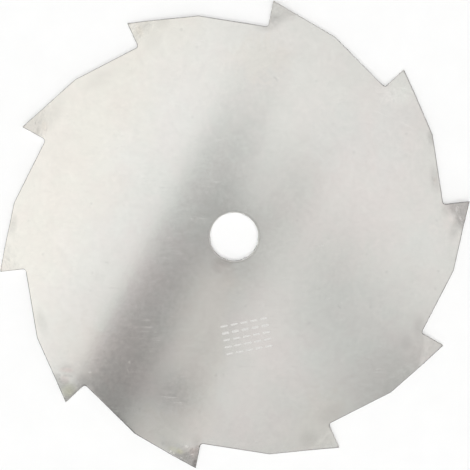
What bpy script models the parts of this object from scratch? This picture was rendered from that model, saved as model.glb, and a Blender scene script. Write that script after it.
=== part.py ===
"""Brush cutter blade: one flat steel plate with ten teeth and a round bore.

Metres, +Z up. The bore's axis is the Z axis. The blade lies flat: the lowest
corners of the teeth that are set downwards are at z = 0, and the plate floats
above them by the set.
"""

import math

import bmesh
import bpy
from mathutils import Vector

# Plate
TIP_RADIUS = 0.125  # 250 mm over the tips
BORE_RADIUS = 0.0127  # 25.4 mm arbor bore
THICKNESS = 0.0016
EDGE_BREAK = 0.0002  # chamfer left on every sheared edge

# Teeth
TEETH = 10
FIRST_TIP = math.radians(8.6)  # angle of the first tip, anticlockwise from +X
ROOT_RADIUS = 0.1112  # sharp corner of the gullet, before its fillet
ROOT_LEAD = math.radians(0.19)  # the gullet's corner is ahead of its tip by this
ROOT_FILLET = 0.0016
KNEE_RADIUS = 0.1170  # corner halfway along a tooth's back
KNEE_LAG = math.radians(17.4)  # the knee trails its tip by this

# Set: each tooth is bent about a line across its foot, up and down by turns
SET_ANGLE = math.radians(8.0)
SET_DEPTH = 0.0127  # the bend starts this far below the tip
SET_LINE = math.radians(72.0)  # angle between the tooth's radius and the bend line
SET_WIDTH = 0.0035  # the bend is spread over this width
SET_STRIPS = 4

# Facets
FILLET_STEPS = 6
BORE_STEPS = 12 * TEETH

PITCH = 2 * math.pi / TEETH
SAME_POINT = 1e-6


def polar(radius, angle):
    return Vector((radius * math.cos(angle), radius * math.sin(angle)))


def tip_angle(k):
    return FIRST_TIP + k * PITCH


def gullet(k):
    """The fillet of the gullet in front of tooth k, from its front face to the next tooth's back."""
    corner = polar(ROOT_RADIUS, tip_angle(k) + ROOT_LEAD)
    to_tip = (polar(TIP_RADIUS, tip_angle(k)) - corner).normalized()
    to_knee = (polar(KNEE_RADIUS, tip_angle(k + 1) - KNEE_LAG) - corner).normalized()
    half = to_tip.angle(to_knee) / 2
    centre = corner + (to_tip + to_knee).normalized() * ROOT_FILLET / math.sin(half)
    start = corner + to_tip * ROOT_FILLET / math.tan(half)
    end = corner + to_knee * ROOT_FILLET / math.tan(half)
    first = math.atan2(*(start - centre).yx)
    sweep = math.remainder(math.atan2(*(end - centre).yx) - first, 2 * math.pi)
    arc = [
        centre + polar(ROOT_FILLET, first + sweep * i / FILLET_STEPS)
        for i in range(1, FILLET_STEPS)
    ]
    return [start, *arc, end]


def outline():
    points = []
    for k in range(TEETH):
        points.append(polar(TIP_RADIUS, tip_angle(k)))
        points += gullet(k)
        points.append(polar(KNEE_RADIUS, tip_angle(k + 1) - KNEE_LAG))
    return points


def sector_angle():
    """Where the first sector ends: the foot of the gullet ahead of tooth 0."""
    foot = gullet(0)[-1]
    return math.atan2(foot.y, foot.x)


def bore():
    first = sector_angle()
    return [
        polar(BORE_RADIUS, first + 2 * math.pi * i / BORE_STEPS)
        for i in range(BORE_STEPS)
    ]


def flat_plate(name):
    """The unset plate as a filled 2D curve, then as a mesh with its caps welded on."""
    curve = bpy.data.curves.new(name + "_outline", "CURVE")
    curve.dimensions = "2D"
    curve.fill_mode = "BOTH"
    curve.extrude = THICKNESS / 2
    for points in (outline(), bore()):
        spline = curve.splines.new("POLY")
        spline.points.add(len(points) - 1)
        for slot, point in zip(spline.points, points):
            slot.co = (point.x, point.y, 0.0, 1.0)
        spline.use_cyclic_u = True
    flat = bpy.data.objects.new(name + "_outline", curve)
    bpy.context.scene.collection.objects.link(flat)
    graph = bpy.context.evaluated_depsgraph_get()
    mesh = bpy.data.meshes.new_from_object(flat.evaluated_get(graph))
    mesh.name = name
    placed = flat.matrix_world.copy()
    bpy.data.objects.remove(flat)
    bpy.data.curves.remove(curve)
    bm = bmesh.new()
    bm.from_mesh(mesh)
    bmesh.ops.remove_doubles(bm, verts=bm.verts, dist=SAME_POINT)
    return mesh, bm, placed


def cut(bm, faces, point, normal):
    geometry = {g for f in faces for g in (f, *f.edges, *f.verts)}
    bmesh.ops.bisect_plane(
        bm,
        geom=list(geometry),
        dist=SAME_POINT,
        plane_co=(point.x, point.y, 0.0),
        plane_no=(normal.x, normal.y, 0.0),
    )


def split_into_sectors(bm):
    """Cuts the plate between neighbouring teeth, and joins the caps' triangles to one face a sector."""
    across = [
        polar(1.0, sector_angle() + k * PITCH + math.pi / 2) for k in range(TEETH // 2)
    ]
    for normal in across:
        cut(bm, bm.faces, Vector((0.0, 0.0)), normal)

    def on_a_cut(edge):
        return any(
            all(abs(v.co.xy.dot(normal)) < 2 * SAME_POINT for v in edge.verts)
            for normal in across
        )

    inner = [
        e
        for e in bm.edges
        if len(e.link_faces) == 2
        and all(abs(f.normal.z) > 0.99 for f in e.link_faces)
        and not on_a_cut(e)
    ]
    bmesh.ops.dissolve_edges(bm, edges=inner, use_verts=False)
    left_on_cuts = [v for v in bm.verts if len(v.link_edges) == 2]
    bmesh.ops.dissolve_verts(bm, verts=left_on_cuts)


class SetLine:
    """The line across the foot of tooth k about which it is bent."""

    def __init__(self, k):
        self.tip = tip_angle(k)
        self.foot = polar(TIP_RADIUS - SET_DEPTH, self.tip)
        self.outwards = polar(1.0, self.tip - SET_LINE + math.pi / 2)
        self.side = 1 if k % 2 == 0 else -1

    def owns(self, point):
        """True on the tooth's own sector, which ends at the foot of the gullet in front of it."""
        turn = math.atan2(point.y, point.x) - (sector_angle() + self.tip - FIRST_TIP)
        return -PITCH < math.remainder(turn + PITCH / 2, 2 * math.pi) - PITCH / 2 < 0

    def beyond(self, point):
        return (point.xy - self.foot).dot(self.outwards)


def bend(line, point):
    """Where a point of the flat plate goes when the tooth is set."""
    s = line.beyond(point)
    if s <= 0:
        return point
    z = point.z * line.side
    radius = SET_WIDTH / SET_ANGLE
    turn = min(s / radius, SET_ANGLE)
    straight = max(s - SET_WIDTH, 0.0)
    along = (radius - z) * math.sin(turn) + straight * math.cos(turn)
    up = radius - (radius - z) * math.cos(turn) + straight * math.sin(turn)
    moved = point.xy + line.outwards * (along - s)
    return Vector((moved.x, moved.y, up * line.side))


def set_teeth(bm):
    for k in range(TEETH):
        line = SetLine(k)
        for i in range(SET_STRIPS + 1):
            own = [f for f in bm.faces if line.owns(f.calc_center_median())]
            start = line.foot + line.outwards * SET_WIDTH * i / SET_STRIPS
            cut(bm, own, start, line.outwards)
    bm.normal_update()
    for k in range(TEETH):
        line = SetLine(k)
        own = {
            v
            for f in bm.faces
            if line.owns(f.calc_center_median())
            for v in f.verts
            if line.beyond(v.co) > SAME_POINT
        }
        for v in own:
            v.co = bend(line, v.co.copy())


def break_edges(bm):
    """A small chamfer along both rims, round the bore and down each tip."""
    bm.normal_update()
    sharp = [
        e
        for e in bm.edges
        if len(e.link_faces) == 2 and e.calc_face_angle(0.0) > math.radians(40)
    ]
    bmesh.ops.bevel(
        bm,
        geom=sharp,
        offset=EDGE_BREAK,
        offset_type="OFFSET",
        segments=1,
        affect="EDGES",
        clamp_overlap=True,
    )


def steel():
    material = bpy.data.materials.new("bright_steel")
    material.use_nodes = True
    shader = material.node_tree.nodes["Principled BSDF"]
    shader.inputs["Base Color"].default_value = (0.66, 0.655, 0.64, 1.0)
    shader.inputs["Metallic"].default_value = 1.0
    shader.inputs["Roughness"].default_value = 0.33
    return material


def main():
    for old in list(bpy.data.objects):
        bpy.data.objects.remove(old, do_unlink=True)
    parts = bpy.data.collections.new("brush_cutter_blade")
    bpy.context.scene.collection.children.link(parts)

    mesh, bm, placed = flat_plate("blade")
    split_into_sectors(bm)
    set_teeth(bm)
    break_edges(bm)
    bmesh.ops.recalc_face_normals(bm, faces=bm.faces)
    bmesh.ops.translate(bm, verts=bm.verts, vec=(0, 0, -min(v.co.z for v in bm.verts)))
    bm.to_mesh(mesh)
    bm.free()

    mesh.materials.clear()
    mesh.materials.append(steel())
    mesh.shade_smooth()
    mesh.set_sharp_from_angle(angle=math.radians(25))
    blade = bpy.data.objects.new("blade", mesh)
    blade.matrix_world = placed
    parts.objects.link(blade)


main()
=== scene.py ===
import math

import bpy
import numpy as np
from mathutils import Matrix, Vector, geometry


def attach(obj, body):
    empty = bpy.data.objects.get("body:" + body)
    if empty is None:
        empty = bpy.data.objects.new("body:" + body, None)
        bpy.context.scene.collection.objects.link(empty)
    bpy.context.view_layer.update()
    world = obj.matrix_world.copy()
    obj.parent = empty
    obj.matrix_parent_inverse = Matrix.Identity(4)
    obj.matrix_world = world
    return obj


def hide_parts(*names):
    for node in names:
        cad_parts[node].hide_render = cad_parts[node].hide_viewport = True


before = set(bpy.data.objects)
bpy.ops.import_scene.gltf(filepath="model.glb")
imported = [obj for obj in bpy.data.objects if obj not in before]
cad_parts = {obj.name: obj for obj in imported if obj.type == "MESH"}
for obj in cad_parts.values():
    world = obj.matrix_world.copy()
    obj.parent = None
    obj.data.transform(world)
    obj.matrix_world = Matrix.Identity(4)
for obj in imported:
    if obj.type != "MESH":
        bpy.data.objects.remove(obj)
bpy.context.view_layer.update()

# The looks of a brush cutter blade: one sheet of bright satin steel, sheared round its rim and bore,
# with ten teeth set up and down by turns. Lengths in this file are millimetres until they are put
# in a mesh or on a light, where they become metres.

MM = 0.001

# ---------------------------------------------------------------- the blade's own dimensions
TIP_RADIUS = 125.0
BORE_RADIUS = 12.7
THICKNESS = 1.6
TEETH = 10
FIRST_TIP = math.radians(8.6)
ROOT_RADIUS = 111.2
ROOT_LEAD = math.radians(0.19)
ROOT_FILLET = 1.6
KNEE_RADIUS = 117.0
KNEE_LAG = math.radians(17.4)
SET_ANGLE = math.radians(8.0)
SET_DEPTH = 12.7
SET_LINE = math.radians(72.0)
SET_WIDTH = 3.5
PITCH = 2 * math.pi / TEETH
MID_PLANE = 2.1839  # height of the plate's middle over the surface that its lowest corners touch

# ---------------------------------------------------------------- finish of the rims
TIP_ROUND = 0.22
KNEE_ROUND = 1.5
STEP = 0.62  # spacing of points along a rim
# Section of a sheared rim from the upper face to the lower: how far in, how high, how rough.
# The punch pulls the upper corner into a roll, cuts a bright band, then tears the rest and leaves a burr.
RIM = [
    (0.620, 0.800, 0.0), (0.490, 0.794, 0.0), (0.370, 0.779, 0.0), (0.270, 0.750, 0.0), (0.185, 0.706, 0.0),
    (0.118, 0.645, 0.0), (0.066, 0.560, 0.0), (0.030, 0.450, 0.0),
    (0.012, 0.260, 0.0), (0.010, 0.020, 0.15), (0.032, -0.090, 1.0), (0.050, -0.300, 1.0),
    (0.062, -0.500, 1.0), (0.052, -0.655, 0.8), (0.085, -0.735, 0.4), (0.150, -0.783, 0.1),
    (0.260, -0.800, 0.0),
]
FACE_RINGS = 2  # this many steps of the roll still have the face's finish
TEAR = 0.022  # depth of the torn band's roughness
COARSE, FINE = 2.3, 0.78  # spacing of the points on the faces, and on the teeth

# Wave of the rolled sheet: height, direction in degrees, wavelength, phase
WAVES = [(0.020, 24.0, 118.0, 0.4), (0.014, 97.0, 83.0, 1.9), (0.010, 151.0, 61.0, 3.1), (0.006, 61.0, 37.0, 5.2)]

# Dents left by the setting tool: tooth, distance beyond the bend's start, distance along the bend, length,
# angle to the bend, depth, half width
DENTS = [
    (0, 1.2, 3.5, 3.0, 20, 0.050, 0.85), (0, 4.6, 5.6, 2.6, -42, 0.045, 0.75), (0, 5.8, 9.4, 3.2, 62, 0.060, 0.75),
    (1, 3.0, 1.0, 2.2, 35, 0.030, 0.8), (2, 2.6, -1.5, 4.2, 8, 0.035, 0.8), (3, 2.2, 4.0, 3.2, 15, 0.045, 0.9),
    (3, 5.0, 1.2, 2.0, 70, 0.035, 0.8), (4, 2.8, 2.0, 4.4, -6, 0.035, 0.8), (5, 2.0, 7.0, 2.6, 80, 0.050, 0.9),
    (6, 0.8, 9.0, 3.4, -15, 0.018, 1.0), (6, 2.2, 14.0, 2.6, 60, 0.016, 0.9), (7, 1.6, 9.0, 5.2, 12, 0.060, 0.9),
    (7, 4.6, 5.5, 4.4, -30, 0.065, 0.85), (7, 0.4, 13.0, 2.4, 30, 0.040, 0.8), (8, 2.4, 5.0, 2.4, 20, 0.030, 0.8),
    (9, 2.8, 3.0, 2.8, -25, 0.030, 0.8),
]

# How much each tooth beyond its bend is darkened, partly dulling by the setting tool and partly painted shade for the
# light that tilted tooth mirrors, and how much it is rubbed bright, from the first tooth round.
TOOTH_DULLING_AND_SHADE = [0.23, 0.04, 0.14, 0.14, 0.09, 0.10, 0.25, 0.22, 0.05, 0.12]
RUBBED = [0.25, 0.10, 0.10, 0.30, 0.45, 0.25, 0.06, 0.40, 0.05, 0.10]
# Painted light and shade on the cut, brighter or darker than usual by the way each edge faces the light: down each
# tooth's front, along each tooth's back, round the bore.
FRONT_EDGE_LIGHT_AND_SHADE = [0.0, 1.10, 0.85, 0.10, 0.80, 0.80, 0.40, -0.10, 0.90, 0.90]
BACK_EDGE_LIGHT_AND_SHADE = [-0.20, 0.00, 0.75, 0.00, 0.50, 0.45, -0.40, -0.75, -0.30, -0.60]
BORE_EDGE_PAINTED_LIGHT = 0.90


def polar(radius, angle):
    return np.array([radius * math.cos(angle), radius * math.sin(angle)])


def tip_angle(k):
    return FIRST_TIP + k * PITCH


def corners():
    """The flat outline's corners, anticlockwise, with the radius that rounds each and the arc's steps."""
    out = []
    for k in range(TEETH):
        out.append((polar(TIP_RADIUS, tip_angle(k)), TIP_ROUND, 6))
        out.append((polar(ROOT_RADIUS, tip_angle(k) + ROOT_LEAD), ROOT_FILLET, 14))
        out.append((polar(KNEE_RADIUS, tip_angle(k + 1) - KNEE_LAG), KNEE_ROUND, 4))
    return out


class Outline:
    """The blade's outer rim, drawn at any distance in from its edge, always with the same number of points."""

    def __init__(self):
        made = corners()
        n = len(made)
        self.arcs, self.counts = [], []
        for i, (corner, radius, steps) in enumerate(made):
            before, after = made[i - 1][0], made[(i + 1) % n][0]
            e0 = (corner - before) / np.linalg.norm(corner - before)
            e1 = (after - corner) / np.linalg.norm(after - corner)
            n0, n1 = np.array([-e0[1], e0[0]]), np.array([-e1[1], e1[0]])
            side = 1 if e0[0] * e1[1] - e0[1] * e1[0] > 0 else -1
            self.arcs.append((corner, radius, steps, n0, n1, side))
        starts = [self.arc(i, 0.0) for i in range(n)]
        for i in range(n):
            run = np.linalg.norm(starts[(i + 1) % n][0] - starts[i][-1])
            self.counts.append(max(2, round(run / STEP)))

    def arc(self, i, depth):
        corner, radius, steps, n0, n1, side = self.arcs[i]
        radius = max(radius - depth, 0.05) if side > 0 else radius + depth
        miter = (n0 + n1) / (1 + n0 @ n1)
        centre = corner + miter * (depth + side * radius)
        a0 = math.atan2(n0[1], n0[0])
        turn = math.remainder(math.atan2(n1[1], n1[0]) - a0, 2 * math.pi)
        return [centre - side * radius * polar(1.0, a0 + turn * j / steps) for j in range(steps + 1)]

    def at(self, depth):
        n = len(self.arcs)
        arcs = [self.arc(i, depth) for i in range(n)]
        points = []
        for i in range(n):
            points += arcs[i]
            a, b, m = arcs[i][-1], arcs[(i + 1) % n][0], self.counts[i]
            points += [a + (b - a) * j / m for j in range(1, m)]
        return np.array(points)


def bore_at(depth):
    m = round(2 * math.pi * BORE_RADIUS / STEP)
    a = sector_angle() + 2 * math.pi * np.arange(m) / m
    r = BORE_RADIUS + depth
    return np.stack([r * np.cos(a), r * np.sin(a)], 1)[::-1]


def sector_angle():
    """Where the first tooth's sector ends: the far end of the fillet in the gullet ahead of it."""
    corner = polar(ROOT_RADIUS, tip_angle(0) + ROOT_LEAD)
    to_tip = polar(TIP_RADIUS, tip_angle(0)) - corner
    to_knee = polar(KNEE_RADIUS, tip_angle(1) - KNEE_LAG) - corner
    to_tip, to_knee = to_tip / np.linalg.norm(to_tip), to_knee / np.linalg.norm(to_knee)
    end = corner + to_knee * ROOT_FILLET / math.tan(math.acos(to_tip @ to_knee) / 2)
    return math.atan2(end[1], end[0])


SECTOR = sector_angle()


def tooth_frame(xy):
    """For each point: its tooth, its distance beyond the start of the bend, and its place along the bend."""
    angle = np.arctan2(xy[:, 1], xy[:, 0])
    tooth = np.ceil((angle - SECTOR) / PITCH - 1e-9).astype(int) % TEETH
    tip = FIRST_TIP + tooth * PITCH
    foot = (TIP_RADIUS - SET_DEPTH) * np.stack([np.cos(tip), np.sin(tip)], 1)
    turn = tip - SET_LINE + math.pi / 2
    out = np.stack([np.cos(turn), np.sin(turn)], 1)
    back = np.stack([np.sin(turn), -np.cos(turn)], 1)
    rel = xy - foot
    return tooth, (rel * out).sum(1), (rel * back).sum(1), out, back


def window(x, low, high):
    t = np.clip((x - low) / (high - low), 0, 1)
    return t * t * (3 - 2 * t)


def wave(xy):
    h = np.zeros(len(xy))
    for height, way, length, phase in WAVES:
        d = math.radians(way)
        h += height * np.sin(2 * math.pi * (xy[:, 0] * math.cos(d) + xy[:, 1] * math.sin(d)) / length + phase)
    return h * (1 - window(np.hypot(xy[:, 0], xy[:, 1]), 92.0, 107.0))


def dents(xy, upper):
    """Depth of the tool's dents at points of the upper (or lower) face."""
    tooth, s, t, _, _ = tooth_frame(xy)
    depth = np.zeros(len(xy))
    for k, s0, t0, length, turn, deep, half in DENTS:
        a = math.radians(turn)
        u = (t - t0) * math.cos(a) + (s - s0) * math.sin(a)
        v = -(t - t0) * math.sin(a) + (s - s0) * math.cos(a)
        over = np.maximum(np.abs(u) - length / 2, 0)
        near = np.exp(-(v * v + over * over) / (half * half))
        depth += np.where(tooth == (k if upper else (k + 3) % TEETH), deep * near, 0.0)
    return depth


def bend(xy, z):
    """Sets the teeth: beyond its line each tooth turns up or down about an arc, then runs on straight."""
    tooth, s, _, out, _ = tooth_frame(xy)
    side = np.where(tooth % 2 == 0, 1.0, -1.0)
    zs = z * side
    radius = SET_WIDTH / SET_ANGLE
    turn = np.clip(s / radius, 0, SET_ANGLE)
    straight = np.maximum(s - SET_WIDTH, 0)
    along = (radius - zs) * np.sin(turn) + straight * np.cos(turn)
    up = radius - (radius - zs) * np.cos(turn) + straight * np.sin(turn)
    on = s > 0
    moved = xy + out * np.where(on, along - s, 0.0)[:, None]
    return np.column_stack([moved, np.where(on, up * side, z)])


# ---------------------------------------------------------------- etched mark
# Five rows of plain bars, lightly etched, below and right of the bore: the bars of a row are all alike.
MARK_AT, MARK_TURN, MARK_ROW = (7.2, -52.4), math.radians(11.0), 3.7
MARK_HEIGHTS = (0.95, 1.30, 0.95, 0.95, 0.95)
MARK_STARTS, MARK_LENGTH = (-13.2, -7.9, -2.6, 2.7, 8.0), 3.9


def mark_bars():
    """Each bar as (centre, half length, half height) in the mark's own turned frame."""
    bars = []
    for row, height in enumerate(MARK_HEIGHTS):
        for start in MARK_STARTS:
            bars.append((start + MARK_LENGTH / 2, (2 - row) * MARK_ROW, MARK_LENGTH / 2, height / 2))
    return bars


def bar_outline(bar, steps=5):
    x, y, half, high = bar
    pts = []
    for side, first in ((1, -math.pi / 2), (-1, math.pi / 2)):
        for j in range(steps + 1):
            a = first + math.pi * j / steps
            pts.append((x + side * (half - high) + high * math.cos(a), y + high * math.sin(a)))
    c, s = math.cos(MARK_TURN), math.sin(MARK_TURN)
    return np.array([(MARK_AT[0] + px * c - py * s, MARK_AT[1] + px * s + py * c) for px, py in pts])


def in_bars(xy, grow=0.0):
    c, s = math.cos(MARK_TURN), math.sin(MARK_TURN)
    rx, ry = xy[:, 0] - MARK_AT[0], xy[:, 1] - MARK_AT[1]
    u, v = rx * c + ry * s, -rx * s + ry * c
    inside = np.zeros(len(xy), bool)
    for x, y, half, high in mark_bars():
        over = np.maximum(np.abs(u - x) - (half - high), 0)
        inside |= np.hypot(over, v - y) < high + grow
    return inside


# ---------------------------------------------------------------- mesh
def far_enough(points, ring, gap):
    """The points that lie inside a ring and at least gap from it."""
    a, b = ring, np.roll(ring, -1, 0)
    keep = np.zeros(len(points), bool)
    for first in range(0, len(points), 2000):
        p = points[first : first + 2000]
        ab, ap = b - a, p[:, None] - a[None]
        t = np.clip((ap * ab).sum(2) / (ab * ab).sum(1), 0, 1)
        d = np.linalg.norm(ap - t[..., None] * ab, axis=2).min(1)
        up = (a[:, 1] > p[:, None, 1]) != (b[:, 1] > p[:, None, 1])
        with np.errstate(divide="ignore", invalid="ignore"):
            cross = a[:, 0] + (p[:, None, 1] - a[:, 1]) * ab[:, 0] / ab[:, 1]
        inside = (up & (p[:, None, 0] < cross)).sum(1) % 2 == 1
        keep[first : first + 2000] = inside & (d > gap)
    return points[keep]


def lattice(spacing, reach):
    rows = int(reach / (spacing * 0.866)) + 1
    cols = int(reach / spacing) + 1
    j, i = np.mgrid[-rows : rows + 1, -cols : cols + 1]
    x = (i + 0.5 * (j % 2)) * spacing
    y = j * spacing * 0.8660254
    return np.stack([x.ravel(), y.ravel()], 1)


def face_points(ring):
    """Points over a face: fine on the teeth and their bends, coarse on the flat plate."""
    coarse = lattice(COARSE, TIP_RADIUS)
    _, s, _, _, _ = tooth_frame(coarse)
    r = np.hypot(*coarse.T)
    coarse = coarse[(s < -3.2) & (r > BORE_RADIUS + 2.2) & (r < TIP_RADIUS)]
    coarse = far_enough(coarse, ring, 1.3)
    fine = lattice(FINE, TIP_RADIUS)
    _, s, _, _, _ = tooth_frame(fine)
    r = np.hypot(*fine.T)
    fine = fine[(s > -2.6) & (r > 100) & (r < TIP_RADIUS)]
    fine = far_enough(fine, ring, 0.45)
    # A ring of points round the bore keeps the triangles there even.
    m = 60
    a = 2 * math.pi * np.arange(m) / m
    round_bore = (BORE_RADIUS + 1.6) * np.stack([np.cos(a), np.sin(a)], 1)
    return np.concatenate([coarse, fine, round_bore])


def triangulate(ring, hole, inner, bars):
    """Triangles over a face between its ring and the bore, with each bar's edge kept."""
    points = [ring, hole]
    loops = [np.arange(len(ring)), len(ring) + np.arange(len(hole))]
    if bars:
        inner = inner[~in_bars(inner, 0.35)]
        at = len(ring) + len(hole)
        for bar in mark_bars():
            loop = bar_outline(bar)
            points.append(loop)
            loops.append(at + np.arange(len(loop)))
            at += len(loop)
    points.append(inner)
    points = np.concatenate(points)
    edges = [(int(a), int(b)) for loop in loops for a, b in zip(loop, np.roll(loop, -1))]
    out = geometry.delaunay_2d_cdt([Vector(p) for p in points], edges, [], 1, 1e-5)
    made = np.array([tuple(v) for v in out[0]])
    tris = np.array(out[2])
    if len(made) != len(points) or np.abs(made - points).max() > 1e-3:
        raise RuntimeError("the triangulation changed the face's points")
    # The hole is convex, so a triangle with all its corners on the hole's edge fills a part of it.
    fills = ((tris >= len(ring)) & (tris < len(ring) + len(hole))).all(1)
    tris = tris[~fills]
    a, b, c = (points[tris[:, j]] for j in range(3))
    area = (b[:, 0] - a[:, 0]) * (c[:, 1] - a[:, 1]) - (b[:, 1] - a[:, 1]) * (c[:, 0] - a[:, 0])
    tris[area < 0] = tris[area < 0][:, ::-1]
    return points, tris[np.abs(area) > 1e-9]


def blade_mesh():
    outline = Outline()
    flat, height, tris, kinds, uvs = [], [], [], [], []
    total = 0
    rng = np.random.default_rng(11)

    def add(xy, z):
        nonlocal total
        flat.append(xy)
        height.append(z)
        total += len(xy)
        return np.arange(total - len(xy), total)

    rims = []
    for make in (outline.at, bore_at):
        n = len(make(0.0))
        # The tear's roughness runs in uneven patches along the rim and changes with height.
        grit = rng.normal(size=(len(RIM), n))
        for _ in range(2):
            grit = (grit + np.roll(grit, 1, 1) + np.roll(grit, -1, 1)) / 3
        line = np.cumsum(rng.normal(size=n))
        line -= np.linspace(0, line[-1], n)
        line = np.convolve(np.r_[line[-4:], line, line[:4]], np.ones(9) / 9, "valid")
        line = 0.055 * np.clip(line / (np.abs(line).max() + 1e-9), -1, 1)
        rings = []
        for i, (depth, z, rough) in enumerate(RIM):
            xy = make(depth)
            nudge = rough * TEAR * np.clip(grit[i] * 1.6, -1.6, 1.6)
            if rough:
                deeper = make(depth + 0.05)
                way = (deeper - xy) / 0.05
                xy = xy + way * (np.maximum(nudge, -depth + 0.004))[:, None]
            level = np.full(n, z)
            if -0.2 < z < 0.1:
                level = level + line  # the bright band ends on an uneven line
            rings.append((xy, level))
        rims.append(rings)

    top_ring, low_ring = rims[0][0][0], rims[0][-1][0]
    top_hole, low_hole = rims[1][0][0], rims[1][-1][0]
    faces = {}
    for upper, ring, hole in ((True, top_ring, top_hole), (False, low_ring, low_hole)):
        inner = face_points(ring)
        points, made = triangulate(ring, hole, inner, upper)
        z = (THICKNESS / 2 - dents(points, True)) if upper else (-THICKNESS / 2 + dents(points, False))
        edge = len(ring) + len(hole)
        z[:edge] = THICKNESS / 2 if upper else -THICKNESS / 2
        ids = add(points, z)
        made = ids[made] if upper else ids[made][:, ::-1]
        tris.append(made)
        middle = points[(made - ids[0])].mean(1)
        kinds.append(np.where(in_bars(middle), 2, 0) if upper else np.zeros(len(made), int))
        faces[upper] = (ids[: len(ring)], ids[len(ring) : edge])

    strips = []
    for which, rings in enumerate(rims):
        loops = [faces[True][which]]
        loops += [add(*r) for r in rings[1:-1]]
        loops.append(faces[False][which])
        for i, (a, b) in enumerate(zip(loops[:-1], loops[1:])):
            a1, b1 = np.roll(a, -1), np.roll(b, -1)
            # One triangle pair for each step along the rim, facing outwards. The bore runs the other way round.
            made = np.concatenate([np.stack([a, b, b1], 1), np.stack([a, b1, a1], 1)])
            tris.append(made)
            kinds.append(np.full(len(made), 0 if i < FACE_RINGS else 1))
        strips.append(loops)

    flat, height = np.concatenate(flat), np.concatenate(height)
    tris, kinds = np.concatenate(tris), np.concatenate(kinds)
    solid = bend(flat, height + wave(flat))
    solid[:, 2] += MID_PLANE
    return flat, height, solid, tris, kinds, strips


def bake_map(flat, height, tris, strips):
    """A map of the surface: the two faces as discs on the square's diagonal, the rims as strips in its corners."""
    disc = 1 / (2 + math.sqrt(2)) - 0.004
    scale = disc / (TIP_RADIUS + 0.4)
    low_corner, high_corner = disc + 0.004, 1 - disc - 0.004
    upper = flat * scale + low_corner
    lower = flat * scale * (-1, 1) + high_corner
    corner_uv = np.zeros((len(tris), 3, 2))
    where = np.full((len(flat), 2), -1)  # ring and place along it, for the points of the rims
    of_rim = np.zeros(len(flat), int)
    for which, loops in enumerate(strips):
        for i, loop in enumerate(loops):
            where[loop] = np.stack([np.full(len(loop), i), np.arange(len(loop))], 1)
            of_rim[loop] = which
    ring = where[tris][:, :, 0]
    on_rim = (ring >= 0).all(1) & (np.ptp(ring, axis=1) == 1) & (ring.max(1) > FACE_RINGS)
    above = height[tris].mean(1) > 0
    corner_uv[:] = np.where((above & ~on_rim)[:, None, None], upper[tris], lower[tris])
    lengths = [len(strips[0][0]), len(strips[1][0])]
    rows = 12
    per = math.ceil(lengths[0] / rows)
    down = np.concatenate([[0.0], np.cumsum([math.hypot(b[0] - a[0], b[1] - a[1]) for a, b in zip(RIM, RIM[1:])])])
    for f in np.flatnonzero(on_rim):
        which = of_rim[tris[f]][0]
        place = where[tris[f]][:, 1].astype(float)
        n = lengths[which]
        if place.max() - place.min() > n / 2:
            place[place < n / 2] += n
        row = int(place.min() // per) if which == 0 else rows
        u = (place - row * per) * STEP * scale if which == 0 else place * STEP * scale
        v = down[ring[f]] * scale * 1.6
        if row % 2 == 0:
            corner_uv[f] = np.stack([0.01 + u * 1.0, 0.985 - (row // 2) * 0.016 - v], 1)
        else:
            corner_uv[f] = np.stack([0.99 - u, 0.015 + (row // 2) * 0.016 + v], 1)
    return corner_uv


flat, height, solid, tris, kinds, strips = blade_mesh()
mesh = bpy.data.meshes.new("blade_plate")
mesh.vertices.add(len(solid))
mesh.vertices.foreach_set("co", (solid * MM).astype(np.float32).ravel())
mesh.loops.add(3 * len(tris))
mesh.loops.foreach_set("vertex_index", tris.astype(np.int32).ravel())
mesh.polygons.add(len(tris))
mesh.polygons.foreach_set("loop_start", np.arange(0, 3 * len(tris), 3, dtype=np.int32))
mesh.polygons.foreach_set("material_index", kinds.astype(np.int32))
mesh.update(calc_edges=True)
mesh.validate()
layer = mesh.uv_layers.new(name="OFBake")
layer.uv.foreach_set("vector", bake_map(flat, height, tris, strips).astype(np.float32).ravel())
tooth, s, t, _, _ = tooth_frame(flat)
under = height < 0
# Darkening of each tooth beyond its bend: partly dulling, partly painted shade for the light each tooth mirrors.
dulling_and_shade = np.array(TOOTH_DULLING_AND_SHADE)[np.where(under, (tooth + 4) % TEETH, tooth)] * window(s, -1.0, 4.2)
rubbed = np.array(RUBBED)[np.where(under, (tooth + 4) % TEETH, tooth)] * window(s, -4.0, 0.5) * (1 - window(s, 5.0, 9.0))
from_front = []
for k in range(TEETH):
    top, foot = polar(TIP_RADIUS, tip_angle(k)), polar(ROOT_RADIUS, tip_angle(k) + ROOT_LEAD)
    way = (foot - top) / np.linalg.norm(foot - top)
    from_front.append(np.abs((flat - top) @ np.array([-way[1], way[0]])))
from_front = np.stack(from_front)[tooth, np.arange(len(flat))]
reach = np.hypot(*flat.T)
on_front = (from_front < 0.7) & (reach > ROOT_RADIUS + 1.6)
# Painted light and shade on the cut: one factor for each tooth's front, one for each tooth's back, one for the bore.
edge_light_and_shade = 1.0 + np.where(on_front, np.array(FRONT_EDGE_LIGHT_AND_SHADE)[tooth], np.array(BACK_EDGE_LIGHT_AND_SHADE)[tooth])
edge_light_and_shade[reach < BORE_RADIUS + 1.0] = 1.0 + BORE_EDGE_PAINTED_LIGHT
for name, values in (
    ("edge_light_and_shade", edge_light_and_shade), ("sheet_z", height), ("fold_out", s), ("fold_along", t), ("tooth", tooth + 10.0 * under), ("dulling_and_shade", dulling_and_shade), ("rubbed", rubbed),
):
    made = mesh.attributes.new(name, "FLOAT", "POINT")
    made.data.foreach_set("value", values.astype(np.float32))
mesh.shade_smooth()
mesh.set_sharp_from_angle(angle=math.radians(38))
plate = bpy.data.objects.new("blade_plate", mesh)
bpy.context.scene.collection.objects.link(plate)


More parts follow.
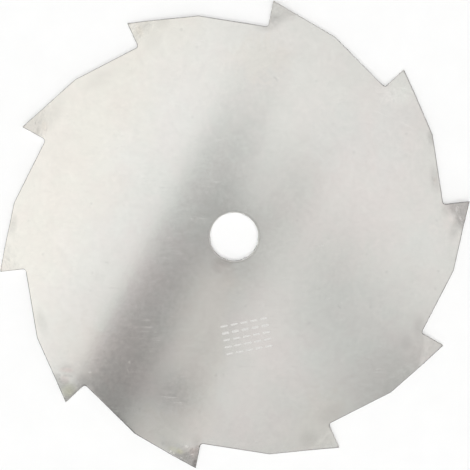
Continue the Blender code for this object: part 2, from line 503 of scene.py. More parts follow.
# ---------------------------------------------------------------- node helpers
class Graph:
    def __init__(self, tree):
        self.tree = tree

    def node(self, kind, **values):
        made = self.tree.nodes.new(kind)
        for name, value in values.items():
            setattr(made, name, value)
        return made

    def feed(self, socket, value):
        if isinstance(value, bpy.types.NodeSocket):
            self.tree.links.new(value, socket)
        elif value is not None:
            socket.default_value = value

    def math(self, how, *values, clamp=False):
        made = self.node("ShaderNodeMath", operation=how, use_clamp=clamp)
        for socket, value in zip(made.inputs, values):
            self.feed(socket, value)
        return made.outputs[0]

    def add(self, a, b):
        return self.math("ADD", a, b)

    def sub(self, a, b):
        return self.math("SUBTRACT", a, b)

    def mul(self, a, b):
        return self.math("MULTIPLY", a, b)

    def vec(self, how, *values):
        made = self.node("ShaderNodeVectorMath", operation=how)
        for socket, value in zip(made.inputs, values):
            self.feed(socket, value)
        return made.outputs[0]

    def step(self, x, low, high, to_low=0.0, to_high=1.0):
        """Smooth change from to_low to to_high as x goes from low to high."""
        made = self.node("ShaderNodeMapRange", interpolation_type="SMOOTHSTEP")
        for socket, value in zip(made.inputs, (x, low, high, to_low, to_high)):
            self.feed(socket, value)
        return made.outputs[0]

    def line(self, x, low, high, to_low, to_high):
        made = self.node("ShaderNodeMapRange", interpolation_type="LINEAR")
        for socket, value in zip(made.inputs, (x, low, high, to_low, to_high)):
            self.feed(socket, value)
        return made.outputs[0]

    def noise(self, where, scale, detail=2.0, rough=0.5, twist=0.0):
        made = self.node("ShaderNodeTexNoise", noise_dimensions="3D")
        self.feed(made.inputs["Vector"], where)
        made.inputs["Scale"].default_value = scale
        made.inputs["Detail"].default_value = detail
        made.inputs["Roughness"].default_value = rough
        made.inputs["Distortion"].default_value = twist
        return made.outputs["Fac"]

    def turned(self, where, degrees, scale, shift=(0.0, 0.0, 0.0)):
        """The coordinates turned about Z, then stretched."""
        made = self.node("ShaderNodeMapping", vector_type="POINT")
        self.feed(made.inputs["Vector"], where)
        made.inputs["Rotation"].default_value = (0, 0, math.radians(degrees))
        made.inputs["Scale"].default_value = scale
        made.inputs["Location"].default_value = shift
        return made.outputs[0]

    def split(self, vector):
        made = self.node("ShaderNodeSeparateXYZ")
        self.feed(made.inputs[0], vector)
        return made.outputs

    def bell(self, x, y, x0, y0, sx, sy):
        """exp(-((x-x0)/sx)^2-((y-y0)/sy)^2)"""
        a = self.mul(self.sub(x, x0), 1 / sx)
        b = self.mul(self.sub(y, y0), 1 / sy)
        return self.math("EXPONENT", self.mul(self.add(self.mul(a, a), self.mul(b, b)), -1.0))

    def length(self, vector):
        made = self.node("ShaderNodeVectorMath", operation="LENGTH")
        self.feed(made.inputs[0], vector)
        return made.outputs["Value"]

    def patches(self, x, y, marks):
        """The sum of soft ellipses: each has its middle, half sizes, turn in radians, and what it adds at its middle.

        The sum rides in the third coordinate, so that the ellipses are worked out one after another and the
        shader keeps few values at a time.
        """
        start = self.node("ShaderNodeCombineXYZ")
        self.feed(start.inputs[0], x)
        self.feed(start.inputs[1], y)
        state = start.outputs[0]
        for mx, my, wide, high, turn, much in marks:
            at = self.node("ShaderNodeMapping", vector_type="TEXTURE")
            self.feed(at.inputs["Vector"], state)
            at.inputs["Location"].default_value = (mx, my, 0.0)
            at.inputs["Rotation"].default_value = (0.0, 0.0, turn)
            at.inputs["Scale"].default_value = (wide, high, 1e6)
            one = self.node("ShaderNodeCombineXYZ")
            self.feed(one.inputs[2], self.step(self.length(at.outputs[0]), 0.20, 1.0, much, 0.0))
            state = self.vec("ADD", state, one.outputs[0])
        return self.split(state)[2]

    def mix(self, share, a, b):
        made = self.node("ShaderNodeMix", data_type="RGBA")
        for socket, value in zip((made.inputs[0], made.inputs[6], made.inputs[7]), (share, a, b)):
            self.feed(socket, value)
        return made.outputs[2]


def new_material(name):
    material = bpy.data.materials.new(name)
    material.use_nodes = True
    shader = material.node_tree.nodes["Principled BSDF"]
    return material, shader, Graph(material.node_tree)


# ---------------------------------------------------------------- steel
# Handling marks on the upper face: the ends of each stroke, its half width, and how much lighter or darker it is.
MARKS = [
    (116.9, 15.2, 116.9, 13.4, 0.47, 0.1), (118.3, 10.4, 119.2, 8.8, 0.37, 0.12),
    (119.4, 8.1, 119.9, 6.8, 0.42, 0.15), (117.4, 9.5, 118.8, 7, 0.53, -0.08),
    (119.8, 9.8, 120, 8.5, 0.37, -0.06), (113.1, 14.8, 116.3, 11.9, 1.37, -0.05),
    (120.2, 13, 121.8, 17.2, 1.16, -0.05), (105, 34.2, 105.2, 31.8, 0.63, 0.03),
    (103.7, 31.7, 104.1, 30.2, 0.53, -0.035), (105.2, 30.8, 105.4, 28.9, 0.42, -0.05),
    (106.1, 33.9, 106.3, 27.6, 0.37, -0.04), (-25.7, -110.7, -24.8, -111.4, 1, 0.26),
    (-29.7, -109.5, -26, -110.8, 0.47, 0.04), (-33.8, -113.6, -33.3, -114.1, 0.47, 0.28),
    (-32.3, -114.7, -31.5, -115.2, 0.47, 0.3), (-33, -114.2, -32.5, -114.5, 0.37, -0.1),
    (-34.8, -113.1, -34.2, -113.5, 0.37, -0.07), (-26.4, -115.6, -24.4, -114.2, 0.63, -0.15),
    (-25.8, -113.3, -24.2, -112.4, 0.47, -0.05), (-23.6, -114, -22, -112.5, 0.84, -0.18),
    (-29, -116.7, -26.6, -118.3, 0.47, 0.13), (-25.8, -116.7, -22.4, -116.1, 0.68, 0.1),
    (-23.3, -108.3, -22.6, -109.8, 0.47, 0.05), (-18.4, -108.1, -17.3, -108.5, 0.47, 0.05),
    (-13, -108.2, -11.1, -108.2, 0.42, 0.05), (-13.7, -109.2, -9.7, -109.8, 0.37, 0.045),
    (-14.5, -108.7, -10.9, -108.9, 0.32, -0.035), (-19.5, -111.2, -20.5, -118.7, 1.79, -0.2),
    (-20.9, -119.2, -21.2, -121.6, 2.37, -0.34), (-30.3, -117.4, -22.8, -121.4, 1.47, -0.22),
    (-23.9, -118.7, -21.8, -113.9, 2.42, -0.05), (-25.2, -114.9, -26.6, -116.2, 0.37, 0.05),
    (-90, -73.3, -85.5, -73.9, 0.95, -0.06), (-92.6, -74.4, -92.2, -75.5, 0.47, -0.13),
    (-95.1, -68.8, -94.9, -69.7, 0.37, -0.06), (-90.8, -73.6, -90.6, -73.9, 0.47, 0.05),
    (-92.9, -75.9, -92.2, -77.1, 0.42, 0.04), (-90.6, -75.5, -91.1, -77, 0.37, 0.03),
    (-83.2, -66.6, -81.5, -68.3, 0.84, 0.1), (-76.9, -71.6, -75.8, -71.8, 0.74, 0.1),
    (-82.7, -78.7, -80.7, -77.9, 1.16, -0.2), (-88.9, -85.7, -86.8, -84.4, 1.79, -0.16),
    (-89.5, -83.9, -89.1, -84.8, 0.42, -0.08), (-87.5, -81.9, -87, -82.6, 0.37, -0.07),
    (-85.9, -83.2, -85.5, -83.7, 0.37, -0.06), (-91.2, -70.9, -89.9, -70.4, 0.42, 0.03),
    (-55.4, -65.8, -55, -66.9, 0.68, 0.09), (-53.7, -67.2, -53.4, -68.2, 0.42, 0.025),
    (-56.7, -69.3, -55.6, -72.5, 0.34, 0.07), (-54.4, -70, -53.4, -71.8, 0.37, 0.03),
    (-53.4, -71.8, -54.3, -73, 0.37, 0.03), (-54.9, -71, -54.6, -71.9, 0.47, -0.04),
    (-56.1, -73.5, -55.2, -74, 0.37, 0.025), (72.7, 66.2, 84.2, 61.7, 0.37, 0.06),
    (84.2, 61.7, 95.8, 55.8, 0.32, 0.07), (76.3, 65.2, 87.9, 60, 0.32, -0.05),
    (20.6, 83.7, 22.5, 82.3, 0.63, -0.08), (22.4, 83.4, 23.8, 82.9, 0.37, 0.06),
    (-10.8, -15.6, -7.9, -18, 2.21, -0.12), (-9.4, -13.5, -8.8, -14.1, 0.53, -0.07),
    (-3.1, -16.7, -2.5, -17.3, 0.42, 0.025), (54.6, -36.2, 56.3, -37.9, 0.58, -0.08),
    (56.1, -34.5, 57.3, -35.3, 0.42, 0.07), (-49.8, 109.6, -48.9, 108.3, 0.79, -0.09),
    (-50.9, 107, -50, 106, 0.53, -0.08), (-48.4, 105.9, -49.4, 104.2, 0.84, -0.06),
    (-51.2, 108.5, -50.5, 107.9, 0.47, -0.06), (-119.7, -11.2, -118, -13, 0.89, -0.06),
    (-120.7, -11.7, -120, -13.3, 0.47, 0.05), (-104, 60, -103.4, 58.6, 0.42, -0.03),
    (-105.7, 57.4, -104.8, 56, 0.47, -0.025), (-98, 60, -98.4, 54.8, 0.53, -0.02),
    (42.6, -108.6, 43.4, -105.4, 0.74, -0.025), (50.8, -108, 52.1, -111, 0.53, -0.03),
    (102.6, -52.3, 102.5, -65, 0.95, 0.028), (100, -50.7, 99.8, -66.1, 1.16, -0.022),
    (102, -48.9, 102.4, -51.2, 0.42, -0.03),
    (116.4, 15.6, 116.9, 13.0, 0.5, 0.20), (118.5, 10.6, 119.8, 8.3, 0.55, 0.26),
]

# Faint stains on the upper face: middle, half sizes, turn in degrees, hue and strength.
HUES = {"pink": (1.050, 0.975, 0.975), "olive": (0.995, 1.005, 0.870), "brown": (1.030, 0.995, 0.965), "green": (0.975, 1.012, 1.000)}
STAINS = [
    (-88.8, -70.4, 2.9, 1.1, -4, "pink", 0.75), (-89.6, -75.6, 2.2, 1.9, 0, "pink", 0.65),
    (-87.5, -81.2, 3.4, 2.9, 30, "olive", 0.75), (-31.0, -113.1, 3.7, 1.4, -18, "olive", 0.6),
    (-28.7, -114.2, 1.6, 1.1, -20, "olive", 0.4), (105.1, 33.1, 0.8, 2.1, 0, "green", 0.5),
    (105.4, 29.7, 0.7, 1.8, 0, "brown", 0.5), (-49.3, 107.7, 1.6, 2.4, 20, "brown", 0.6),
    (-99.0, 57.4, 1.4, 2.6, 0, "brown", 0.5), (-8.5, -15.4, 3.4, 3.0, 0, "pink", 0.25),
    (-5.3, -24.8, 9.5, 3.7, 0, "brown", 0.2), (100.8, -59.7, 8.4, 7.4, 0, "pink", 0.2),
    (-77.3, -91.5, 9.5, 7.4, -40, "pink", 0.3), (86.8, 76.0, 6.0, 4.2, -60, "green", 0.6),
    (-20.2, -115.5, 3.0, 5.6, 0, "pink", 0.7), (112.0, 12.0, 3.0, 8.0, 0, "pink", 0.25),
]
# Broad tarnish over both faces, much fainter: middle, half sizes, turn in degrees, hue and strength.
TARNISH = {"pink": (1.0130, 0.9900, 0.9970), "green": (0.9880, 1.0045, 1.0070), "yellow": (1.0120, 0.9990, 0.9860)}
ZONES = [
    (74, 40, 40, 58, 0, "pink", 1.0), (58, 11, 37, 29, 0, "pink", 0.8), (-49, -33, 58, 17, 63, "pink", 1.0),
    (15, -54, 26, 42, 0, "pink", 1.0), (1, -99, 37, 19, 0, "pink", 0.9), (117, 13, 12, 12, 0, "pink", 1.3),
    (-12, 40, 52, 58, 0, "green", 1.0), (58, -49, 42, 45, 0, "green", 0.9), (100, -2, 16, 15, 0, "green", 0.8),
    (-40, 4, 28, 28, 0, "green", 0.7), (-18, -44, 21, 42, 0, "yellow", 1.0), (15, 94, 26, 15, 0, "yellow", 1.1),
    (48, -96, 19, 21, 0, "yellow", 0.9), (-44, -101, 24, 12, -30, "yellow", 0.9),
    (-43, -4, 22, 16, 0, "pink", 1.1), (-28, 56, 18, 28, 0, "pink", 0.7), (34, -67, 14, 28, 0, "pink", 0.8),
    (90, -57, 14, 18, 0, "pink", 0.8), (-50, -79, 26, 12, -30, "pink", 0.6), (-18, -73, 16, 40, 0, "yellow", 0.9),
    (-81, -57, 20, 26, 0, "yellow", 0.8), (37, -108, 16, 10, 0, "yellow", 0.9), (-2, -20, 12, 14, 0, "yellow", 0.8),
    (53, 51, 22, 26, 0, "green", 1.2), (80, 50, 13, 36, 0, "green", 1.4), (44, -97, 26, 16, 0, "yellow", 0.9),
    (-28, -102, 26, 14, 0, "yellow", 1.1), (-55, -65, 46, 30, 0, "pink", 0.6), (-55, -65, 46, 30, 0, "yellow", 0.6),
]
# Smudges by the teeth, the rim and the bore, on the upper face, partly real smudges and partly painted shade and light
# that make up for the mirrored light: middle, half sizes, turn in degrees, and how much paler or darker.
SMUDGES_AND_SHADE = [
    (18.4, 111.6, 10.5, 5.4, 16, -0.16), (23.5, 117.5, 6.0, 4.0, 0, 0.05), (-29.4, -113.0, 10.0, 5.5, -25, -0.10),
    (-19.5, -108.3, 4.4, 5.0, 0, -0.08), (-36.0, -109.5, 4.5, 3.0, -20, -0.05), (103.7, 52.6, 3.6, 6.5, 0, -0.17),
    (105.3, 29.8, 3.6, 10.0, 8, -0.12), (-88.5, -70.0, 7.0, 5.0, -20, -0.11), (-80.5, -75.5, 5.0, 4.0, -30, -0.10),
    (116.2, 4.6, 9.5, 3.8, 72, -0.13), (111.9, 14.6, 4.4, 5.6, 0, -0.12), (-116.2, 6.2, 8.0, 3.2, 80, -0.12),
    (39.5, -107.4, 7.0, 7.0, 0, -0.09), (51.4, -94.5, 12.0, 7.0, 25, -0.07), (-95.5, 63.5, 17.0, 6.0, 60, -0.08),
    (-70.0, 82.5, 15.0, 6.0, 25, -0.05), (-37.2, 112.0, 6.0, 4.6, 20, -0.08), (-43.0, 103.5, 9.0, 6.0, 60, -0.06), (-44.0, 113.5, 7.0, 4.0, 10, 0.05),
    (-52.6, 109.1, 5.0, 5.5, 0, 0.09), (98.0, -47.5, 4.6, 7.6, 0, -0.09), (-5.8, -13.3, 9.0, 3.8, 0, -0.10),
    (84.5, 74.0, 14.0, 8.0, 0, 0.06), (-101.5, -45.0, 11.0, 4.0, 105, -0.08),
    (91.0, -56.0, 4.0, 6.0, 0, -0.06), (89.0, -71.5, 9.0, 4.0, 32, 0.05),
]


def steel_face():
    """Bright rolled sheet: faint clouds and swirls, a satin grain, handling marks, worn places by the bends, painted
    shade on each tooth beyond its bend, and smudges with painted shade and light by the teeth, the rim and the bore.
    """
    material, shader, g = new_material("satin_steel")
    where = g.vec("MULTIPLY", g.node("ShaderNodeTexCoord").outputs["Object"], (1000.0, 1000.0, 1000.0))
    x, y, z = g.split(where)
    fold = {}
    for name in ("fold_out", "fold_along", "tooth", "dulling_and_shade", "rubbed"):
        fold[name] = g.node("ShaderNodeAttribute", attribute_name=name).outputs["Fac"]

    clouds = g.noise(where, 0.040, 3.0, 0.55)
    swirls = g.noise(where, 0.125, 4.0, 0.62, 0.9)
    mottle = g.noise(where, 0.50, 4.0, 0.68)
    grain = g.noise(g.turned(where, -27.0, (0.20, 2.6, 1.0)), 1.0, 3.0, 0.6)
    fine = g.noise(where, 1.9, 2.0, 0.6)

    # Hairline scratches in three directions, broken up by patches.
    scratches = None
    for turn, wide, seed in ((-24.0, 1.1, 3.0), (38.0, 0.8, 11.0), (71.0, 0.6, 23.0)):
        lines = g.noise(g.turned(where, turn, (0.014, wide, 1.0), (seed, seed * 1.7, 0.0)), 1.0, 1.0, 0.4)
        thin = g.step(g.math("ABSOLUTE", g.sub(lines, 0.5)), 0.0, 0.012, 1.0, 0.0)
        broken = g.step(g.noise(where, 0.05 + seed * 0.002, 2.0, 0.6), 0.53, 0.68)
        one = g.mul(thin, broken)
        scratches = one if scratches is None else g.math("MAXIMUM", scratches, one)

    # A few small dark specks, of uneven size and strength.
    cells = g.node("ShaderNodeTexVoronoi", feature="F1", voronoi_dimensions="2D")
    g.feed(cells.inputs["Vector"], where)
    cells.inputs["Scale"].default_value = 0.11
    chance = g.split(cells.outputs["Color"])
    size = g.line(chance[0], 0.0, 1.0, 0.02, 0.10)
    spot = g.mul(g.step(g.sub(cells.outputs["Distance"], size), -0.05, 0.04, 1.0, 0.0), g.step(chance[1], 0.72, 0.98))

    # Worn places along the bends: streaks that follow the bend, some rubbed bright, some dull, some stained.
    along = g.node("ShaderNodeCombineXYZ")
    g.feed(along.inputs[0], g.mul(fold["fold_along"], 0.34))
    g.feed(along.inputs[1], g.mul(fold["fold_out"], 0.62))
    g.feed(along.inputs[2], g.mul(fold["tooth"], 7.31))
    streak = g.noise(along.outputs[0], 1.0, 4.0, 0.66, 0.8)
    rubbed = g.mul(fold["rubbed"], g.step(streak, 0.56, 0.68))
    dull = g.mul(fold["rubbed"], g.step(streak, 0.46, 0.34))
    tint = g.mul(fold["rubbed"], g.step(g.noise(along.outputs[0], 0.45, 2.0, 0.5, 0.5), 0.47, 0.66))

    # Marks and stains, on the upper face only and broken up by the mottling.
    upper = g.math("GREATER_THAN", g.split(g.node("ShaderNodeNewGeometry").outputs["Normal"])[2], 0.0)
    marks = []
    for x0, y0, x1, y1, half, much in MARKS:
        long = math.hypot(x1 - x0, y1 - y0)
        turn = math.atan2(y1 - y0, x1 - x0)
        marks.append(((x0 + x1) / 2, (y0 + y1) / 2, 0.58 * long + half, 1.15 * half, turn, much))
    marks = g.mul(g.mul(g.patches(x, y, marks), upper), g.line(mottle, 0.3, 0.7, 0.50, 1.50))

    tone = g.add(1.0, g.mul(g.sub(clouds, 0.5), 0.055))
    tone = g.add(tone, g.mul(g.sub(swirls, 0.5), 0.100))
    tone = g.add(tone, g.mul(g.sub(mottle, 0.5), 0.125))
    tone = g.add(tone, g.mul(g.sub(grain, 0.5), 0.035))
    tone = g.add(tone, g.mul(g.sub(fine, 0.5), 0.062))
    tone = g.add(tone, g.mul(scratches, 0.020))
    tone = g.sub(tone, g.mul(spot, 0.05))
    tone = g.add(tone, marks)
    tone = g.add(tone, g.mul(rubbed, 0.22))
    tone = g.sub(tone, g.mul(dull, 0.15))
    # Each tooth beyond its bend is darkened by its own amount: partly dulling by the setting tool, partly painted
    # shade for the light that tooth mirrors.
    tone = g.mul(tone, g.sub(1.0, g.mul(fold["dulling_and_shade"], g.line(streak, 0.3, 0.7, 1.25, 0.75))))
    reach = g.math("SQRT", g.add(g.mul(x, x), g.mul(y, y)))
    tone = g.mul(tone, g.step(reach, 123.0, 124.7, 1.0, 0.70))  # the outermost 2 mm of each tip is darker
    # Hue: a little warmer to the left, drifting between pink and green, with the stains on top.
    wide_x = g.add(x, g.mul(g.sub(clouds, 0.5), 42.0))
    wide_y = g.add(y, g.mul(g.sub(swirls, 0.5), 34.0))
    warm = g.mix(g.step(g.sub(wide_x, g.mul(y, 0.51)), -105.0, -58.0), (0.676, 0.656, 0.608, 1), (0.6645, 0.6545, 0.6240, 1))
    drift = g.mix(g.step(g.noise(where, 0.060, 2.0, 0.55), 0.38, 0.62), (1.005, 0.997, 0.999, 1), (0.995, 1.003, 1.001, 1))
    # Smudges with painted shade and light by the teeth, the rim and the bore.
    smudges_and_shade = [(sx, sy, wide, high, math.radians(turn), much) for sx, sy, wide, high, turn, much in SMUDGES_AND_SHADE]
    smudges_and_shade = g.mul(g.mul(g.patches(x, y, smudges_and_shade), upper), g.line(mottle, 0.3, 0.7, 0.40, 1.60))
    tone = g.mul(tone, g.add(1.0, smudges_and_shade))
    stained = g.vec("MULTIPLY", g.mix(g.mul(tint, 0.45), warm, (0.610, 0.585, 0.510, 1)), drift)
    for hue, factor in TARNISH.items():
        share = g.patches(wide_x, wide_y, [(px, py, wide, high, math.radians(turn), much) for px, py, wide, high, turn, name, much in ZONES if name == hue])
        stained = g.vec("MULTIPLY", stained, g.mix(g.math("MINIMUM", share, 1.3), (1, 1, 1, 1), (*factor, 1)))
    for hue, factor in HUES.items():
        share = [(px, py, 1.8 * wide, 1.8 * high, math.radians(turn), much) for px, py, wide, high, turn, name, much in STAINS if name == hue]
        share = g.mul(g.mul(g.patches(x, y, share), upper), g.line(swirls, 0.35, 0.65, 0.75, 1.25))
        stained = g.vec("MULTIPLY", stained, g.mix(g.math("MINIMUM", share, 1.0), (1, 1, 1, 1), (*factor, 1)))
    colour = g.vec("SCALE", stained)
    g.feed(colour.node.inputs["Scale"], tone)
    g.feed(shader.inputs["Base Color"], colour)

    rough = g.add(0.115, g.mul(g.sub(clouds, 0.5), 0.04))
    rough = g.add(rough, g.mul(g.sub(mottle, 0.5), 0.11))
    rough = g.add(rough, g.mul(g.sub(fine, 0.5), 0.05))
    rough = g.add(rough, g.mul(scratches, 0.16))
    rough = g.add(rough, g.mul(dull, 0.20))
    rough = g.add(rough, g.mul(rubbed, 0.10))
    rough = g.add(rough, g.mul(fold["dulling_and_shade"], 0.30))
    rough = g.add(rough, g.mul(g.math("ABSOLUTE", marks), 0.8))
    rough = g.add(rough, g.mul(spot, 0.05))
    g.feed(shader.inputs["Roughness"], g.math("MAXIMUM", rough, 0.06))

    relief = g.add(g.mul(grain, 0.0011), g.mul(fine, 0.0008))
    relief = g.add(relief, g.mul(mottle, 0.0034))
    relief = g.add(relief, g.mul(swirls, 0.0085))
    relief = g.sub(relief, g.mul(scratches, 0.0010))
    relief = g.sub(relief, g.mul(g.mul(fold["rubbed"], streak), 0.020))
    bump = g.node("ShaderNodeBump")
    bump.inputs["Strength"].default_value = 1.0
    bump.inputs["Distance"].default_value = 0.001
    g.feed(bump.inputs["Height"], relief)
    g.feed(shader.inputs["Normal"], bump.outputs[0])
    shader.inputs["Metallic"].default_value = 1.0
    return material


def cut_edge():
    """The sheared rim: duller and darker, with the punch's strokes running through the sheet's thickness, and painted
    light and shade on each tooth's front and back and round the bore.
    """
    material, shader, g = new_material("sheared_edge")
    where = g.vec("MULTIPLY", g.node("ShaderNodeTexCoord").outputs["Object"], (1000.0, 1000.0, 1000.0))
    strokes = g.noise(g.turned(where, 0.0, (2.6, 2.6, 0.35)), 1.0, 4.0, 0.7)
    patches = g.noise(where, 0.30, 3.0, 0.6)
    tear = g.noise(where, 3.4, 3.0, 0.7)
    # Below the dark roll at the top runs a bright burnished band, and below that the dull torn one.
    height = g.node("ShaderNodeAttribute", attribute_name="sheet_z").outputs["Fac"]
    wall = g.step(height, 0.26, 0.52, 1.0, 0.0)
    torn = g.step(height, -0.16, 0.02, 1.0, 0.0)
    tone = g.add(0.80, g.mul(g.sub(strokes, 0.5), 0.50))
    tone = g.add(tone, g.mul(g.sub(patches, 0.5), 0.30))
    tone = g.add(tone, g.mul(g.sub(tear, 0.5), 0.16))
    # Painted light and shade, set for each tooth's front and back and for the bore.
    tone = g.mul(tone, g.node("ShaderNodeAttribute", attribute_name="edge_light_and_shade").outputs["Fac"])
    tone = g.mul(g.add(1.0, g.sub(g.mul(wall, 1.00), g.mul(torn, 0.45))), tone)
    colour = g.vec("SCALE", (0.340, 0.331, 0.316))
    g.feed(colour.node.inputs["Scale"], tone)
    g.feed(shader.inputs["Base Color"], colour)
    rough = g.add(0.36, g.mul(g.sub(strokes, 0.5), 0.30))
    rough = g.add(rough, g.sub(g.mul(torn, 0.18), g.mul(wall, 0.08)))
    g.feed(shader.inputs["Roughness"], g.add(rough, g.mul(g.sub(tear, 0.5), 0.12)))
    bump = g.node("ShaderNodeBump")
    bump.inputs["Strength"].default_value = 1.0
    bump.inputs["Distance"].default_value = 0.001
    g.feed(bump.inputs["Height"], g.add(g.mul(strokes, 0.020), g.mul(tear, 0.010)))
    g.feed(shader.inputs["Normal"], bump.outputs[0])
    shader.inputs["Metallic"].default_value = 1.0
    return material


def etched():
    """Lightly etched steel: frosted, paler, faintly uneven."""
    material, shader, g = new_material("etched_steel")
    where = g.vec("MULTIPLY", g.node("ShaderNodeTexCoord").outputs["Object"], (1000.0, 1000.0, 1000.0))
    uneven = g.noise(where, 0.55, 4.0, 0.65)
    frost = g.noise(where, 3.0, 3.0, 0.7)
    tone = g.add(1.04, g.mul(g.sub(uneven, 0.5), 0.26))
    tone = g.add(tone, g.mul(g.sub(frost, 0.5), 0.12))
    colour = g.vec("SCALE", (0.775, 0.765, 0.740))
    g.feed(colour.node.inputs["Scale"], tone)
    g.feed(shader.inputs["Base Color"], colour)
    g.feed(shader.inputs["Roughness"], g.add(0.40, g.mul(g.sub(frost, 0.5), 0.25)))
    bump = g.node("ShaderNodeBump")
    bump.inputs["Strength"].default_value = 1.0
    bump.inputs["Distance"].default_value = 0.001
    g.feed(bump.inputs["Height"], g.mul(frost, 0.012))
    g.feed(shader.inputs["Normal"], bump.outputs[0])
    shader.inputs["Metallic"].default_value = 1.0
    return material


for material in (steel_face(), cut_edge(), etched()):
    mesh.materials.append(material)

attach(plate, "root")
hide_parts("blade")


# ---------------------------------------------------------------- floor
def floor():
    size = 9.0
    made = bpy.data.meshes.new("pale_floor")
    made.from_pydata([(-size, -size, 0), (size, -size, 0), (size, size, 0), (-size, size, 0)], [], [(0, 1, 2, 3)])
    ground = bpy.data.objects.new("pale_floor", made)
    bpy.context.scene.collection.objects.link(ground)
    material, shader, g = new_material("pale_floor")
    where = g.node("ShaderNodeTexCoord").outputs["Object"]
    fleck = g.noise(where, 60.0, 4.0, 0.6)
    g.feed(shader.inputs["Base Color"], g.mix(fleck, (0.86, 0.86, 0.855, 1), (0.90, 0.90, 0.895, 1)))
    shader.inputs["Roughness"].default_value = 0.75
    shader.inputs["Specular IOR Level"].default_value = 0.2
    made.materials.append(material)


floor()

# ---------------------------------------------------------------- camera
DISTANCE = 0.625
TILT = math.radians(2.52)
camera = bpy.data.cameras.new("camera")
camera.sensor_width = 36.0
camera.lens = 91.07
camera.dof.use_dof = False
eye = bpy.data.objects.new("camera", camera)
eye.location = (0.00047, 0.00092 + DISTANCE * math.sin(TILT), 0.002984 + DISTANCE * math.cos(TILT))
eye.rotation_euler = (-TILT, 0.0, 0.0)
bpy.context.scene.collection.objects.link(eye)
bpy.context.scene.camera = eye

# ---------------------------------------------------------------- lights
# One wide soft panel above the table gives the steel its tones. It is brighter to the left, with a soft
# dark bar across it, as where two sheets of a light tent part.
PANEL_HEIGHT = 0.400
PANEL_SIZE = 1.80
FADE = (0.45, 0.88)  # distances out along the panel between which it fades
SPREAD = 1 + PANEL_HEIGHT / (DISTANCE * math.cos(TILT))  # a point of the plate mirrors the panel this much further out


def soft_panel():
    light = bpy.data.lights.new("soft_panel", "AREA")
    light.shape = "SQUARE"
    light.size = PANEL_SIZE
    light.energy = 1.022 * math.pi * PANEL_SIZE**2
    light.use_nodes = True
    tree = light.node_tree
    g = Graph(tree)
    emission = next(n for n in tree.nodes if n.type == "EMISSION")
    px, py, _ = g.split(g.node("ShaderNodeNewGeometry").outputs["Position"])
    unit = 10.0 / SPREAD  # to units of 100 mm on the plate
    x = g.mul(px, unit)
    y = g.mul(g.add(py, 0.018), unit)
    # The bar's edge leans and curves a little.
    q = g.sub(x, g.add(-0.5442, g.add(g.mul(y, 0.5093), g.mul(g.mul(y, y), -0.0351))))
    qk = g.mul(q, g.add(1.0, g.mul(y, 0.1174)))
    core = g.mul(g.step(q, 0.0456, 0.2113), g.step(qk, 0.3448, 0.557, 1.0, 0.0))
    core = g.mul(core, g.math("MINIMUM", g.math("MAXIMUM", g.add(0.3819, g.mul(y, -0.2586)), 0.0), 0.92))
    core = g.mul(core, g.step(y, 0.4287, 1.2831, 1.0, 0.0))
    shoulder = g.mul(g.step(q, -0.3703, 0.647), g.step(g.sub(q, g.mul(y, 0.0033)), 0.6856, 1.0073, 1.0, 0.0))
    shoulder = g.mul(shoulder, g.mul(g.step(y, 0.052, 0.7398, 1.0, 0.0), 0.2907))
    # Soft darker and lighter places: middle, half sizes and depth of each.
    spots = 0.0
    for x0, y0, wide, high, depth in [
        (0.9184, -0.8423, 0.3223, 0.4244, 0.3015), (0.4983, -0.2483, 0.3014, 0.4035, 0.2238),
        (0.1362, -1.2071, 1.2, 0.7784, 0.3381), (-0.3179, -0.8253, 0.1118, 0.1015, 0.3071),
        (-0.0066, -0.0234, 0.1093, 0.2, 0.3639), (-0.10, -2.05, 0.62, 0.45, 0.50), (1.21, 1.50, 0.45, 0.45, -0.22),
    ]:
        spots = g.add(spots, g.mul(g.bell(x, y, x0, y0, wide, high), depth))
    left = g.add(1.1928, g.add(g.mul(x, -0.0818), g.mul(y, -0.0405)))
    right = g.add(1.2249, g.add(g.mul(x, -0.1545), g.mul(y, -0.0977)))
    side = g.step(q, -0.0335, 0.0335)
    base = g.add(left, g.mul(g.sub(right, left), side))
    level = g.mul(g.mul(base, g.sub(1.0, core)), g.mul(g.sub(1.0, shoulder), g.sub(1.0, spots)))
    # Well outside the blade the panel fades out, and the walls of the light tent take over.
    reach = g.math("SQRT", g.add(g.mul(px, px), g.mul(py, py)))
    level = g.mul(g.math("MAXIMUM", level, 0.15), g.step(reach, *FADE, 1.0, 0.0))
    g.feed(emission.inputs["Strength"], level)
    emission.inputs["Color"].default_value = (1.0, 1.0, 1.0, 1.0)
    lamp = bpy.data.objects.new("soft_panel", light)
    lamp.location = (0.0, 0.0, PANEL_HEIGHT)
    lamp.visible_camera = False
    lamp.visible_diffuse = False  # the floor is lit evenly by the dome and the key instead
    bpy.context.scene.collection.objects.link(lamp)


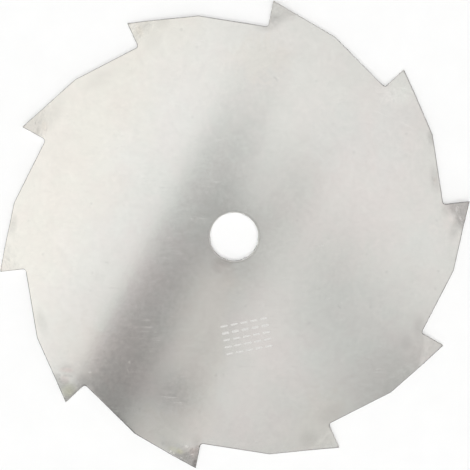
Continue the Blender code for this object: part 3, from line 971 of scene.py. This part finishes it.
def key_light():
    light = bpy.data.lights.new("key", "SUN")
    light.energy = 1.98
    light.angle = math.radians(10)
    lamp = bpy.data.objects.new("key", light)
    lamp.location = (0.0, 0.0, 1.0)  # it shines straight down
    lamp.visible_glossy = False
    bpy.context.scene.collection.objects.link(lamp)


def studio_world():
    world = bpy.data.worlds.new("studio")
    world.use_nodes = True
    tree = world.node_tree
    g = Graph(tree)
    background = next(n for n in tree.nodes if n.type == "BACKGROUND")
    way_x, way_y, up = g.split(g.node("ShaderNodeTexCoord").outputs["Generated"])
    level = g.math("MAXIMUM", g.math("SQRT", g.add(g.mul(way_x, way_x), g.mul(way_y, way_y))), 1e-4)
    east, south = g.math("DIVIDE", way_x, level), g.mul(g.math("DIVIDE", way_y, level), -1.0)
    # What the steel mirrors: the tent's walls, a little uneven, from the floor up to where the panel takes over.
    beside = g.step(g.math("DIVIDE", g.mul(level, PANEL_HEIGHT), g.math("MAXIMUM", up, 0.02)), *FADE)
    walls = g.noise(g.node("ShaderNodeTexCoord").outputs["Generated"], 3.2, 1.0, 0.4)
    mirrored = g.mul(g.mul(beside, g.step(up, 0.0, 0.30, 0.50, 0.78)), g.line(walls, 0.3, 0.7, 0.80, 1.16))
    mirrored = g.mul(mirrored, g.sub(0.92, g.mul(south, 0.10)))
    # What falls on the floor: mostly from one side, so that the blade's soft shadow leans away from it.
    fill = g.add(0.31, g.add(g.mul(south, 0.25), g.mul(east, 0.02)))
    lean = g.math("MAXIMUM", south, 0.0)
    lean = g.mul(g.mul(lean, lean), g.mul(g.step(up, 0.70, 0.82), g.step(up, 0.95, 0.985, 1.2, 0.0)))
    fill = g.mul(g.add(fill, lean), 1.182)
    path = g.node("ShaderNodeLightPath").outputs
    strength = g.add(g.mul(path["Is Glossy Ray"], mirrored), g.mul(g.sub(1.0, path["Is Glossy Ray"]), fill))
    strength = g.add(g.mul(g.sub(1.0, path["Is Camera Ray"]), strength), path["Is Camera Ray"])
    background.inputs["Color"].default_value = (1.0, 1.0, 1.0, 1.0)
    g.feed(background.inputs["Strength"], strength)
    bpy.context.scene.world = world


soft_panel()
key_light()
studio_world()
bpy.context.scene.view_settings.view_transform = "Standard"
